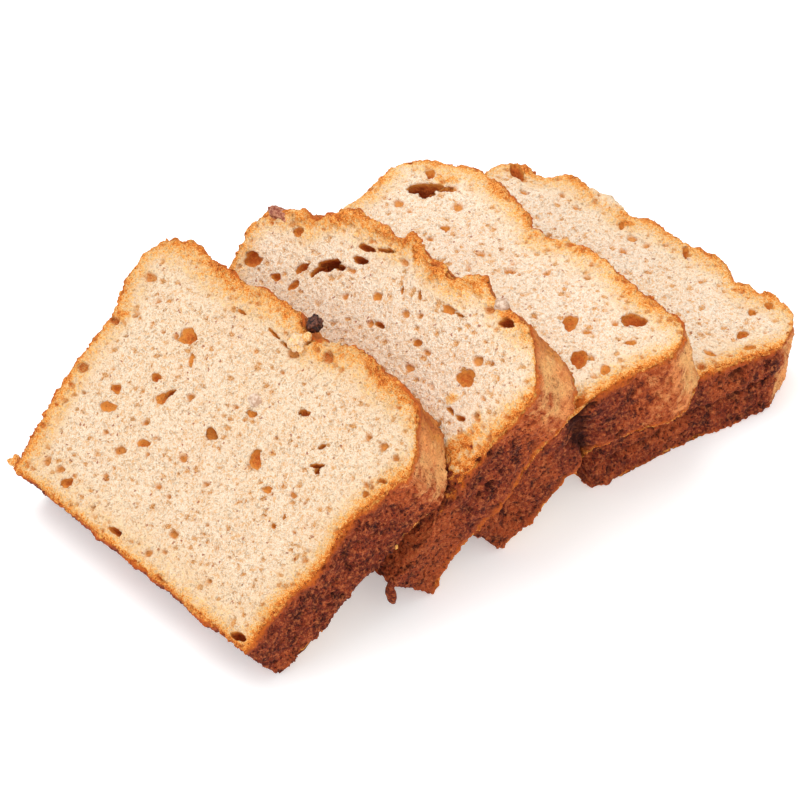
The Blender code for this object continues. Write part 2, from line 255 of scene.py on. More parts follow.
# The holes that gas left in the crumb, open on the cut faces and a little wider inside than
# at the mouth: (across, up, long, short, tilt in degrees, depth) in mm.
HOLES = {
    "slice_1": (
        (21.7, 59.2, 6.2, 4.6, 16, 1.8), (27.4, 41.1, 4.4, 3.2, 45, 1.6), (14.3, 30.2, 5.8, 3.2, 26, 1.2),
        (12.7, 35.6, 3.6, 2.8, 19, 1.6), (21.3, 44.8, 3.2, 2.6, 13, 2), (47.7, 41.9, 3.2, 2.4, 0, 1.4),
        (31.4, 28.2, 4.5, 2.4, 28, 1.5), (65.3, 43.2, 5.7, 3.6, -38, 1.9), (82.6, 52, 4.8, 1.4, 29, 3),
        (74, 38.7, 3.7, 2, 26, 1.2), (55, 52.6, 3.4, 2, 15, 1.4), (69, 61.4, 3.8, 1.6, 29, 2.2),
        (95, 2.6, 5.4, 2.2, 12, 4), (41.5, 4.2, 5.1, 1.8, 4, 3), (80, 57, 2.2, 1.2, 60, 2.6),
        (84, 35.7, 1.8, 1, -60, 1.8), (83, 32, 2, 1.2, -20, 1.6), (102.5, 59.3, 3.2, 1.2, 10, 1.8),
        (100.4, 53.5, 2.4, 1.4, -40, 1.4), (56.4, 77.9, 3.2, 1, 60, 1.8), (28.6, 43.6, 3.8, 1.8, 60, 3.4),
        (83.4, 51, 2.6, 1.6, -44, 3), (44.4, 74, 5.6, 0.9, -7, 2.4), (31.4, 73.6, 3.4, 0.8, 6, 2),
        (50.2, 73.4, 3.8, 1, -4, 2.2), (27.6, 54.2, 4.8, 1.6, -52, 1), (18.3, 6.4, 4.2, 2.8, 44, 1.8)),
    "slice_2": (
        (1.9, 48, 5.8, 4.6, 15, 2.2), (10.5, 62.1, 3.6, 3, 21, 1.6), (25.8, 59.8, 8, 3.4, 42, 6),
        (18.2, 54.4, 5, 2.2, 58, 2.4), (34.4, 66.4, 5.2, 2.2, 20, 4), (12.2, 48, 3.4, 2.4, 25, 1.8),
        (51.8, 55.1, 4.2, 1.4, 10, 2.6), (66.1, 57.6, 3.4, 2, 25, 1.4), (69.2, 70.4, 5.4, 2.2, 8, 1.3),
        (86, 58, 6.1, 5.2, 11, 1.7), (91.4, 48.2, 3.6, 1.3, 9, 2.2), (88, 77, 5.6, 2.8, 20, 3.5),
        (40.6, 73.1, 7.5, 0.9, 23, 2.2), (19, 49.2, 4.6, 2.2, 64, 1.4), (52.2, 66.6, 2.4, 1.2, -60, 1.6),
        (58.2, 68.5, 3, 1.3, -50, 1.6), (46, 61.2, 3.4, 2.6, 30, 1), (73.2, 71, 4.2, 0.9, 6, 1.8),
        (23, 56.2, 5, 1.8, 69, 5), (29.3, 61.2, 5, 1.8, 14, 4), (34, 70.2, 6.4, 1.8, 14, 3.2),
        (87.4, 48.2, 3.6, 1.2, -8, 2.2)),
    "slice_3": (
        (6.4, 54.6, 11, 4.2, 48, 6), (10.8, 58.4, 4.6, 2.2, 50, 2), (8.8, 53.8, 5, 3.4, 50, 5),
        (2.9, 59.8, 4, 2.9, -37, 2), (23.8, 48.8, 3, 2.4, 41, 1.2),
        (78.4, 50.6, 6, 4.5, -39, 1.7), (90.2, 63.9, 7.3, 5.2, 30, 2.6), (90.8, 43.6, 6.6, 4.8, -39, 2.2),
        (96.2, 57.9, 3.8, 2.2, 50, 1.2), (99, 46, 4, 3, -35, 1.2)),
    "slice_4": (
        (-0.9, 60.1, 7.6, 3.6, -20, 3), (38.7, 66.7, 3.7, 1.6, -43, 1.5), (59.7, 73.2, 5.4, 2, -43, 2),
        (97.5, 60.4, 4.2, 3.2, -79, 1.7), (93.2, 75, 3.6, 2.6, -48, 1.8), (92.1, 69.1, 3, 2.2, -48, 1.2),
        (97.4, 47.4, 4.6, 2, 20, 1), (102.8, 58, 4, 2.4, 60, 1.2)),
}
BELLY = math.radians(100)     # how far a hole's wall turns from its bottom: past 90 it is undercut
SLANT = 0.55                  # how much deeper a hole is at one side than at its middle
MOUTH_LOBES = ((2, 0.05), (3, 0.09), (5, 0.05), (8, 0.04))      # how many round a mouth, how high


def in_oval(points, across, up, long, short, tilt):
    """Return the points' way from an oval's middle, in mm, and in shares of its half length and width."""
    dx, dy = points[:, 0] - across, points[:, 1] - up
    tilt = math.radians(tilt)
    along = (dx * math.cos(tilt) + dy * math.sin(tilt)) / (long / 2)
    beside = (dy * math.cos(tilt) - dx * math.sin(tilt)) / (short / 2)
    return dx, dy, along, beside


def open_holes(flat, on_front, holes):
    """Press the holes into the front face; return each point's depth in a hole, in mm."""
    uncut, sunk = flat.copy(), np.zeros(len(flat))
    draw = np.random.default_rng(len(holes))
    for across, up, long, short, tilt, depth in holes:
        dx, dy, along, beside = in_oval(uncut, across, up, long, short, tilt)
        angle = np.arctan2(beside, along)
        uneven = 1.0
        for lobes, share in MOUTH_LOBES:
            uneven = uneven + share * np.sin(lobes * angle + draw.uniform(0, 2 * math.pi))
        reach = np.clip(np.hypot(along, beside) / uneven, 0.02, 1)
        turn = reach * BELLY
        level = (np.cos(turn) - math.cos(BELLY)) / (1 - math.cos(BELLY))
        level *= 1 + SLANT * reach * np.cos(angle - draw.uniform(0, 2 * math.pi))
        inside = on_front & (reach < 1) & (depth * level > sunk)
        widened = np.sin(turn) / math.sin(BELLY) / reach
        flat[inside, 0] = across + (dx * widened)[inside]
        flat[inside, 1] = up + (dy * widened)[inside]
        flat[inside, 2] = (uncut[:, 2] + depth * level)[inside]
        sunk[inside] = (depth * level)[inside]
    return sunk


# The places where a slice isn't like the rest of it: lumps that tore and baked on, a stretch
# whose crust tore away, and crumb that browned where it lay against the next slice, painted dark
# also as its shade, as (across, up, long, short, tilt in degrees, rise) in mm, and a bake, of which 1 is
# orange.
MARKS = {
    "slice_1": (
        (53.6, 75.3, 5.6, 4.2, 30, 1.4, 0.2), (56.2, 81.2, 5, 3.4, 10, 0.3, 1.25),
        (62, 80.3, 9, 3.4, 8, 0.9, 0.35), (69, 82.6, 6, 3.2, 15, 1, 0.6),
        (78.5, 82.4, 6.5, 3.2, -10, 1, 1), (83, 80.6, 4.2, 2.8, -30, 0.6, 1.15),
        (91, 80.8, 4.4, 3.2, 0, 0.8, 1), (30, 81.5, 8, 3.4, 5, 0.8, 0.6), (18, 79.6, 8, 3.6, 0, 0.8, 1),
        (44, 80, 3, 2.4, 0, 0, 1), (-1.1, 52.8, 3.8, 2.8, 39, 0.2, 1), (-3.3, 28.7, 4, 3, 44, 0.3, 1)),
    "slice_2": (
        (8.8, 66.5, 7, 4, 20, 1, 0.65), (21, 73, 9, 5, 35, 1, 1), (34.6, 77, 7, 3.6, 5, 1, 0.8),
        (45, 79.8, 7, 4.4, 20, 1.2, 1.05), (50.5, 78, 5, 3.6, -20, 0.8, 1), (59, 77.3, 8, 4.6, 0, 1.2, 1),
        (69, 80.3, 7, 3.6, 20, 1.2, 0.7), (74, 80, 5, 3.8, 0, 1, 1), (88, 79, 5, 3, 20, 0, 1.15),
        # From (97, 12) on, the marks lie where the first slice overhangs the second: their brown is partly
        # the crumb's browning and partly painted shade.
        (95, 78.5, 4, 3.2, 0, 1, 0.6), (97, 12, 46, 15, 86, 0, 2.4), (95.5, 41, 13, 5.4, 65, 0.3, 1),
        (85.8, 51.3, 3.4, 2.6, 41, 0.3, 0.65), (98, 47.8, 8, 2.6, 113, 0.3, 0.7)),
    "slice_3": (
        (-4.5, 44, 4, 4, 0, 1, 0.7), (-3, 36.5, 3, 4, 0, 1, 0.5), (8.6, 60.9, 6, 3, 40, 0.5, 0.75),
        (22, 69.5, 7, 3.8, 0, 1, 1), (36.5, 68.4, 6, 3.6, 0, 1, 1.05), (44, 66, 5, 3.8, 0, 1.2, 0.5),
        (52.5, 70, 5, 3.2, 20, 0.6, 0.4), (59, 71.2, 5, 3.2, 0, 0.6, 0.9),
        (80, 71, 6, 3.2, -20, 0.6, 0.85), (88, 70, 5, 3, 0, 0.5, 0.95)),
    "slice_4": (
        (-1.5, 61.5, 7, 4.8, 40, 0.8, 1.05), (10, 69.6, 9, 4.2, 20, 0.8, 0.85),
        (17.5, 70.4, 5, 3.2, -10, 0.8, 1), (29, 71.6, 15, 4.8, 14, 1.2, 0.12),
        (38.8, 68.5, 4, 2.8, 30, 0.4, 1), (83, 75.4, 5, 3.4, 0, 1, 0.85), (91, 78.2, 5, 3.2, 0, 1, 1)),
}
MARK_DEPTH = 6.0              # mm, how far a mark reaches from the face along the crust
TORN_OFF, GROWN_OVER = 0.5, 1.3      # the bakes below which crust tore off, and above which it hides crumb
RAGGED_WIDTH = 1.7            # mm


def bump_at(points, width):
    """Return the noise of a given width at each point."""
    return np.array([noise.noise(Vector(point) / width) for point in points])


def press_marks(flat, depth, on_back, crust, baked, rind, marks):
    """Raise and bake the marks; where one baked little, the crust tore away."""
    for across, up, long, short, tilt, rise, bake in marks:
        within = np.hypot(flat[:, 0] - across, flat[:, 1] - up) < long
        near = np.flatnonzero(within & (depth < MARK_DEPTH) & ~on_back)
        along, beside = in_oval(flat[near], across, up, long, short, tilt)[2:]
        ragged = 0.7 * bump_at(flat[near], RAGGED_WIDTH)
        share = np.clip(1.5 - np.hypot(along, beside) + ragged, 0, 1) * (1 - depth[near] / MARK_DEPTH)
        share = share * share * (3 - 2 * share)
        flat[near, 2] -= rise * share * np.where(crust[near] > 0, 0.4, 1)
        flat[near, 1] += rise * share * np.where(crust[near] > 0, 1, 0.3)
        baked[near] += (bake - baked[near]) * share
        if bake < TORN_OFF:
            crust[near] *= 1 - share
        if bake > GROWN_OVER:
            rind[near] += MARK_DEPTH * share
            crust[near] = np.maximum(crust[near], share)


# The furrows in the right side crust: the fold where the third slice buckled as it sagged,
# which starts on its face, and the crease along the side of the last slice. Each runs
# between two places, (up, depth) in mm.
FURROWS = {
    "slice_3": dict(start=(37.5, 0), stop=(36, 27), gape=3.0, wander=1.6, side_depth=3.4, face_depth=2.4),
    "slice_4": dict(start=(66, 11), stop=(6, 15), gape=2.2, wander=2.0, side_depth=1.6, face_depth=0),
}
FOLD_REACH = 9.0              # mm, how far the fold reaches across the face
BEND_WIDTH, NICK_WIDTH = 5.0, 2.0      # mm, how wide a furrow's bends and its small nicks are


def press_furrow(flat, on_front, on_right, to_right, furrow):
    """Press a furrow into the right side and the face; return each point's depth in it, in mm."""
    start, stop = np.array(furrow["start"], float), np.array(furrow["stop"], float)
    along = stop - start
    spot = flat[:, 1:] - start
    share = np.clip(spot @ along / (along @ along), 0, 1)
    bends = bump_at(flat * (0, 0, 1), BEND_WIDTH)
    nicks = bump_at(flat[:, (0, 0, 2)] * (0, 1, 1) + (3, 0, 0), NICK_WIDTH)
    off = np.linalg.norm(spot - share[:, None] * along, axis=1)
    side_on = np.sign(spot @ np.array([-along[1], along[0]]))
    off = np.abs(off * side_on - furrow["wander"] * (bends + 0.4 * nicks)) / (furrow["gape"] / 2)
    hollow = np.exp(-off ** 1.4)
    fading = np.clip(1 - to_right / FOLD_REACH, 0, 1)
    inward = np.where(on_right, furrow["side_depth"] * hollow, 0)
    deeper = np.where(on_front, furrow["face_depth"] * hollow * fading, 0)
    flat[:, 0] -= inward
    flat[:, 2] += deeper
    return np.maximum(inward, deeper)


# The pores. Banana bread has a close, moist crumb, full of round pores of 0.5 to 2 mm,
# with a few larger. A tree presses them into the faces, and pits and crags into the crust,
# frays the cut edges, and stores what the material paints: it is quicker than in the render.
CRUST_RELIEF, TOP_RELIEF, FACE_RELIEF = 0.7, 1.5, 0.25      # mm
DOME_CALM = 0.65      # how much weaker pits and grit are in the open air than against the tin


def push(tree, place, fineness, height, detail=1.0, roughness=0.5):
    """Return a shift in some direction that a noise gives each place."""
    ruffle = add_node(tree, "ShaderNodeTexNoise", {
        "Vector": place, "Scale": fineness, "Detail": detail, "Roughness": roughness}).outputs["Color"]
    about = add_node(tree, "ShaderNodeVectorMath", {0: ruffle, 1: (0.5, 0.5, 0.5)}, operation="SUBTRACT")
    return add_node(tree, "ShaderNodeVectorMath", {0: about.outputs[0], "Scale": height},
                    operation="SCALE").outputs[0]


def hollows(tree, place, per_mm, narrow, wide, wall, warp=0.4):
    """Return how deep in a round hollow a place lies, from 0 to 1; sizes are shares of their spacing."""
    shift = push(tree, place, per_mm * 2.2, warp / per_mm)
    bent = add_node(tree, "ShaderNodeVectorMath", {0: place, 1: shift}, operation="ADD")
    cells = add_node(tree, "ShaderNodeTexVoronoi", {"Vector": bent.outputs[0], "Scale": per_mm})
    chance = add_node(tree, "ShaderNodeVectorMath", {0: cells.outputs["Color"], 1: (1, 0, 0)},
                      operation="DOT_PRODUCT")
    rare = add_node(tree, "ShaderNodeMath", {0: chance.outputs["Value"], 1: 2.0}, operation="POWER")
    radius = add_node(tree, "ShaderNodeMath", {0: rare.outputs[0], 1: wide - narrow, 2: narrow},
                      operation="MULTIPLY_ADD")
    below = add_node(tree, "ShaderNodeMath", {0: radius.outputs[0], 1: cells.outputs["Distance"]},
                     operation="SUBTRACT")
    depth = add_node(tree, "ShaderNodeMapRange", {
        "Value": below.outputs[0], "From Min": 0.0, "From Max": wall}, interpolation_type="SMOOTHSTEP")
    return depth.outputs["Result"]


relief = new_tree("crumb_and_crust_relief", pore_depth=0.5, bubble_depth=1.1, pit_depth=0.8,
                  pock_depth=1.5, crag_height=4.5, grit_height=0.8, crust_grit=1.5, lump_height=4.0,
                  fray=2.2)
sizes = add_node(relief, "NodeGroupInput").outputs
read = {name: add_node(relief, "GeometryNodeInputNamedAttribute", {"Name": name}, data_type=kind).outputs[0]
        for name, kind in (("loaf", "FLOAT_VECTOR"), ("grain", "FLOAT_VECTOR"), ("crust", "FLOAT"),
                           ("edge", "FLOAT"), ("top_edge", "FLOAT"), ("open_air", "FLOAT"))}
made = dict(
    pore=hollows(relief, read["grain"], per_mm=0.55, narrow=0.1, wide=0.62, wall=0.3, warp=0.8),
    bubble=hollows(relief, read["grain"], per_mm=0.24, narrow=0.05, wide=0.44, wall=0.2),
    pit=hollows(relief, read["loaf"], per_mm=0.62, narrow=0.16, wide=0.62, wall=0.4),
    pock=hollows(relief, read["loaf"], per_mm=0.2, narrow=0.05, wide=0.45, wall=0.3))
CLOUD_ROUGHNESS = 0.6
CLOUDS = dict(cream_cloud=(0.07, 3.0), blush=(0.045, 2.0), blotch=(0.28, 4.0), crag=(0.13, 3.0),
              grit=(0.8, 4.0))      # how many to the mm, and their detail
for name, (per_mm, detail) in CLOUDS.items():
    made[name] = add_node(relief, "ShaderNodeTexNoise", {
        "Vector": read["loaf"], "Scale": per_mm, "Detail": detail, "Roughness": CLOUD_ROUGHNESS}).outputs[0]


def total(tree, *terms):
    """Return the sum of values, each times a factor: (value, factor), (value, factor) and so on."""
    result = 0.0
    for value, factor in terms:
        result = add_node(tree, "ShaderNodeMath", {0: value, 1: factor, 2: result},
                          operation="MULTIPLY_ADD").outputs[0]
    return result


def from_middle(tree, noise_value, height):
    """Return a noise's rise and fall about its middle, times a height."""
    return total(tree, (total(tree, (noise_value, 1.0), (-0.5, 1.0)), height))


crumb_rise = total(relief, (made["pore"], sizes["pore_depth"]), (made["bubble"], sizes["bubble_depth"]))
crust_fall = total(relief, (made["pit"], sizes["pit_depth"]), (made["pock"], sizes["pock_depth"]),
                   (from_middle(relief, made["crag"], sizes["crag_height"]), 1.0))
walled = total(relief, (read["open_air"], -DOME_CALM), (1.0, 1.0))
crust_fall = total(relief, (crust_fall, walled))
sink = add_node(relief, "ShaderNodeMix", {0: read["crust"], 2: crumb_rise, 3: crust_fall},
                data_type="FLOAT").outputs[0]
lumps = total(relief, (from_middle(relief, made["blotch"], sizes["lump_height"]), read["top_edge"]))
grit_height = total(relief, (total(relief, (read["crust"], walled)), sizes["crust_grit"]),
                    (sizes["grit_height"], 1.0))
sink = total(relief, (sink, -1.0), (from_middle(relief, made["grit"], grit_height), 1.0), (lumps, 1.0))
outward = add_node(relief, "GeometryNodeInputNormal").outputs[0]
move = add_node(relief, "ShaderNodeVectorMath", {0: outward, "Scale": sink}, operation="SCALE").outputs[0]
TATTERS_PER_MM = 0.36
frayed = push(relief, read["loaf"], TATTERS_PER_MM, total(relief, (read["edge"], sizes["fray"])), detail=3.0,
              roughness=CLOUD_ROUGHNESS)
move = add_node(relief, "ShaderNodeVectorMath", {0: move, 1: frayed}, operation="ADD").outputs[0]
kept = sizes["Geometry"]
for name in ("pore", "bubble", "pit", "pock", "cream_cloud", "blush", "blotch"):
    kept = add_node(relief, "GeometryNodeStoreNamedAttribute", {
        "Geometry": kept, "Name": name, "Value": made[name]}, data_type="FLOAT", domain="POINT").outputs[0]
pressed = add_node(relief, "GeometryNodeSetPosition", {"Geometry": kept, "Offset": move})
whole = add_node(relief, "GeometryNodeRealizeInstances", {"Geometry": pressed.outputs["Geometry"]})
finish_coat = add_node(relief, "GeometryNodeSetMaterial", {"Geometry": whole.outputs["Geometry"]})
add_node(relief, "NodeGroupOutput", {"Geometry": finish_coat.outputs["Geometry"]})


# The bake: cream crumb inside, which turns yellow and then orange within a few mm of the
# crust, and a crust that the tin browned dark and the oven's air browned golden on top.
def linear(hex_colour):
    """Turn an sRGB hex colour into linear red, green, blue and alpha."""
    parts = [int(hex_colour[i:i + 2], 16) / 255 for i in (1, 3, 5)]
    return (*(c / 12.92 if c <= 0.04045 else ((c + 0.055) / 1.055) ** 2.4 for c in parts), 1.0)


# Some of these tones paint light: the palest crumb tone and the crust's brightest tone are painted
# highlights, and the crust's near-black and its darkest brown are painted shade.
BREAD = dict(
    cream="#fcead4", biscuit="#f9e2c7", rosy="#f9dfc7", grain="#e8b47a", painted_grain_highlight="#fff6e4", pore="#e1a258",
    ochre="#de8e3e", brown="#c46426", deep="#9a3a10", painted_dim="#f1ebe3", straw="#fdd898", gold="#fcba60",
    orange="#f29238", toffee="#d0681e", umber="#6a2812", rust="#5a180e", brick="#86321a", chestnut="#b85224",
    pit="#2a0904", painted_glint="#d07442", tan="#ffc27a", fawn="#ffa862", dome="#e29448", blister="#bc682e",
    painted_shadow_patch="#3c120a")
TONES = {tone: linear(colour) for tone, colour in BREAD.items()}
MIX_A, MIX_B, MIX_OUT = 6, 7, 2      # the colour sockets of a Mix node


def product(tree, *shares):
    """Multiply shares, each a value, or (value, low, high) for its way from one level to another.

    (value, low, high, floor, ceiling) is the same, but ends elsewhere than at 0 and 1.
    """
    result = None
    for share in shares:
        if isinstance(share, tuple):
            value, low, high, floor, ceiling = (*share, 0.0, 1.0)[:5]
            share = add_node(tree, "ShaderNodeMapRange", {
                "Value": value, "From Min": low, "From Max": high, "To Min": floor, "To Max": ceiling},
                interpolation_type="SMOOTHSTEP").outputs["Result"]
        result = share if result is None else total(tree, (result, share))
    return result


def coated(tree, colour, *coats):
    """Lay coats over a colour, one after another: each is a colour, and the shares of it that show.

    A colour is one of TONES by name, or any other as it is.
    """
    for coat, *shares in coats:
        colour = add_node(tree, "ShaderNodeMix", {
            0: product(tree, *shares), MIX_A: TONES.get(colour, colour), MIX_B: TONES.get(coat, coat)},
            data_type="RGBA").outputs[MIX_OUT]
    return colour


def place_in_mm(tree):
    """Return the place in the row, in mm."""
    metres = add_node(tree, "ShaderNodeTexCoord").outputs["Object"]
    return add_node(tree, "ShaderNodeVectorMath", {0: metres, "Scale": 1 / MM}, operation="SCALE").outputs[0]


def new_material(name, inputs):
    """Return a material, its node tree and its shader, with some of the shader's inputs set."""
    material = bpy.data.materials.new(name)
    material.use_nodes = True
    shader = material.node_tree.nodes["Principled BSDF"]
    for title, value in inputs.items():
        shader.inputs[title].default_value = value
    return material, material.node_tree, shader


def bread_material():
    """Baked quick bread: matte crumb, and a dry, pitted crust with a faint sheen."""
    material, tree, shader = new_material("baked_banana_bread", {
        "Roughness": 0.85, "Specular IOR Level": 0.2})
    seen = {name: add_node(tree, "ShaderNodeAttribute", attribute_name=name).outputs["Fac"]
            for name in ("crust", "baked", "sunk", "rind", "open_air", "painted_dim", "pore", "bubble", "pit", "pock",
                         "cream_cloud", "blush", "blotch")}

    # The grain: a noise, a finer one, and gaps, pricks and dark specks between ruffled cells.
    place = place_in_mm(tree)
    speckle, fine = (add_node(tree, "ShaderNodeTexNoise", {
        "Vector": place, "Scale": per_mm, "Detail": detail, "Roughness": CLOUD_ROUGHNESS}).outputs[0]
        for per_mm, detail in ((0.9, 4.0), (3.0, 3.0)))
    ruffle = add_node(tree, "ShaderNodeTexNoise", {
        "Vector": place, "Scale": 1.3, "Detail": 2.0}).outputs["Color"]
    ruffled = add_node(tree, "ShaderNodeVectorMath", {0: ruffle, 1: (1.4, 1.4, 1.4), 2: place},
                       operation="MULTIPLY_ADD").outputs[0]
    cells, seldom = (add_node(tree, "ShaderNodeTexVoronoi", {
        "Vector": ruffled, "Scale": per_mm}).outputs["Distance"] for per_mm in (1.0, 0.32))
    gap = product(tree, (cells, 0.45, 0.85))
    prick = product(tree, (cells, 0.42, 0.18), (speckle, 0.56, 0.46))
    dark_speck = product(tree, (seldom, 0.15, 0.09))
    uneven, rough, grainy = (from_middle(tree, source, 2.0) for source in (seen["blotch"], speckle, fine))

    # The crumb: cream with tan grain, baked towards the crust, with painted light and shade on its grain,
    # pores and holes.
    crumb = coated(
        tree, "cream",
        ("biscuit", (seen["cream_cloud"], 0.35, 0.65)),
        ("rosy", (seen["blush"], 0.5, 0.68, 0, 0.6)),
        # Painted light, partly the crumb's own tone: the grain is painted tan in the lows of its bumps as
        # shade, and pale on their tops as highlight.
        ("grain", (speckle, 0.5, 0.34, 0, 0.5)),
        ("grain", (fine, 0.50, 0.39, 0, 0.6)),
        ("painted_grain_highlight", (fine, 0.51, 0.61, 0, 0.95)),
        # Painted shade, partly the crumb's own warmer tone: the pores, bubbles and the gaps of the grain are
        # painted ochre and brown.
        ("pore", gap, (speckle, 0.6, 0.4, 0, 0.6)),
        ("pore", (seen["pore"], 0.0, 1.0), (fine, 0.68, 0.4, 0.5, 1.0)),
        ("brown", seen["pore"], (fine, 0.5, 0.36, 0, 0.7)),
        ("ochre", (seen["bubble"], 0, 1, 0, 0.95)),
        ("deep", dark_speck, 0.75))
    near_rim = product(tree, (seen["baked"], 0.02, 0.25))
    baked = total(tree, (seen["baked"], 1.0),
                  (near_rim, total(tree, (uneven, 0.5), (rough, 0.9), (grainy, 1.4))))
    # Painted shade: near the crust the pores and gaps are painted brown, and the pricks a little darker.
    painted_pore_shade = total(tree, (seen["pore"], 0.6), (seen["bubble"], 0.85), (gap, 0.4))
    crumb = coated(
        tree, crumb,
        ("straw", (baked, 0.05, 0.35, 0, 0.75)),
        ("gold", (baked, 0.3, 0.65, 0, 0.9)),
        ("orange", (baked, 0.62, 0.98, 0, 0.95)),
        ("toffee", (baked, 0.95, 1.3, 0, 0.95)),
        ("umber", (baked, 1.3, 1.6, 0, 0.97)),
        ("brown", (baked, 0.1, 0.4), painted_pore_shade),
        ("pore", prick, 0.4))
    # Painted shade: each slice's cut face is multiplied darker and warmer by its own amount, to even out the
    # light on the slices.
    crumb = add_node(tree, "ShaderNodeMix", {0: seen["painted_dim"], MIX_A: crumb, MIX_B: TONES["painted_dim"]},
                     data_type="RGBA", blend_type="MULTIPLY").outputs[MIX_OUT]
    # Painted shade: the holes are painted ochre, then brown, then deep brown the deeper they go.
    sunk = total(tree, (seen["sunk"], total(tree, (rough, 0.9), (grainy, 0.7), (1.0, 1.0))))
    crumb = coated(
        tree, crumb,
        ("ochre", (sunk, 0.1, 0.7)),
        ("brown", (sunk, 0.7, 2.2)),
        ("deep", (sunk, 1.9, 4.5, 0, 0.9)))

    # The crust: red-brown against the tin, paler above its rim, mottled gold on the dome, and orange in a
    # band along the cut, with painted shade in its pits, furrows and dark patches and painted glints on its
    # grain.
    dome = coated(tree, "blister", ("dome", (seen["blotch"], 0.42, 0.62)))
    sunned = coated(tree, "tan", ("fawn", (seen["blush"], 0.42, 0.58)))
    shadow = coated(tree, "pit", ("brick", (seen["open_air"], 0.05, 0.4)))
    shade = product(tree, (seen["open_air"], 0.1, 0.6, 1.0, 0.45))
    # Painted shade: dark patches over the crust, where the blotch noise is low.
    shadow_patches = total(tree, (seen["blotch"], 1.0), (rough, 0.12))
    air = total(tree, (seen["open_air"], 1.0), (uneven, 0.4), (rough, 0.2), (grainy, 0.12))
    rind = total(tree, (seen["rind"], 1.0), (uneven, 1.6), (rough, 2.2), (grainy, 1.6))
    thin = product(tree, (fine, 0.5, 0.38))
    crust = coated(
        tree, "rust",
        ("brick", (seen["blotch"], 0.38, 0.62)),
        ("chestnut", (seen["blush"], 0.5, 0.62, 0, 0.6)),
        ("painted_shadow_patch", (shadow_patches, 0.46, 0.36, 0, 0.75)),
        ("chestnut", (air, 0.0, 0.28, 0, 0.9)),
        (sunned, (air, 0.2, 0.5)),
        (dome, (air, 0.45, 0.85)),
        # Painted highlight: glints on the tops of the crust's grain and on the ridges between its pits.
        ("painted_glint", (speckle, 0.52, 0.66, 0, 0.4)),
        ("chestnut", (fine, 0.52, 0.64, 0, 0.35), shade),
        ("painted_glint", gap, (speckle, 0.42, 0.54, 0, 0.5)),
        ("chestnut", (rind, 0.6, 4.2, 0.85, 0.0)),
        # Painted shade: the crust's pocks, pits and pricks are painted dark, less on the dome, and its
        # furrows darker the deeper they go.
        (shadow, (seen["pock"], 0, 1, 0, 0.75), shade),
        (shadow, (seen["pit"], 0, 1, 0, 0.7), shade),
        (shadow, (thin, 0, 1, 0, 0.4), shade),
        (shadow, (prick, 0, 1, 0, 0.85), shade),
        ("pit", (seen["sunk"], 0.5, 2.5, 0, 0.8)),
        ("toffee", (rind, 0.0, 2.2, 0.85, 0.0)),
        ("gold", (rind, -0.8, 0.8, 0.9, 0.0), (seen["blush"], 0.42, 0.5)))

    shell = total(tree, (seen["crust"], 1.0), (uneven, 0.35))
    tree.links.new(coated(tree, crumb, (crust, (shell, 0.35, 0.65))), shader.inputs["Base Color"])
    height = total(tree, (speckle, 1.2), (fine, 0.7), (gap, -0.2), (prick, -0.5))
    bump = add_node(tree, "ShaderNodeBump", {"Strength": 1.0, "Distance": 0.6 * MM, "Height": height})
    tree.links.new(bump.outputs["Normal"], shader.inputs["Normal"])
    return material


bread = bread_material()


# The slices: each is one closed mesh with its pores, crust and holes, laid in its place.
# The crumb near the crust is baked most under the dome, and least at the tin's floor.
BAKED_DEPTH = dict(left=5.2, right=3.7, floor=2.1, top=4.8)      # mm, how far the orange reaches
BAKED_MOST = dict(left=1.15, right=1.25, floor=1.2, top=1.05)    # how dark it is at the crust, 1 is orange
LINING, LINING_DEPTH = 0.2, 12.0      # the faint gold of the outer crumb, and how far in mm it reaches
FACE_WIDTH, FACE_HEIGHT = 108.0, 76.0      # mm, about how wide and how high the cut faces are
CORE = (50.0, 40.0)                   # mm across and up, which the crust's bumps face away from
BROAD_BUMP, SMALL_BUMP, FACE_BUMP = 7.0, 3.1, 9.0      # mm, how wide the bumps are
FRAY_REACH, LUMP_REACH, CORNER_REACH = 1.3, 4.0, 7.0      # mm, how far in from an edge each reaches
EDGE_ROUND, BACK_ROUND = 2.4, 1.0     # mm, how far the cut edges are rubbed round, in front and behind
RUBBED_SHARE = 0.29                   # the share of that which a corner loses, for a quarter of a circle
BACK_BAKED, TORN_BAKED = 1.7, 0.7     # how much darker the back's rim is, and how much less if it tore
GRAIN_STEP = 31.7                     # mm between the places where two slices read the one noise
PORE_TILT, PORE_STRETCH = math.radians(20), 1.3
MOST_TRIANGLES = 190000


def points_of(mesh):
    """Return where the mesh's vertices are, one to a row."""
    spots = np.zeros(len(mesh.vertices) * 3, np.float32)
    mesh.vertices.foreach_get("co", spots)
    return spots.reshape(-1, 3).astype(float)


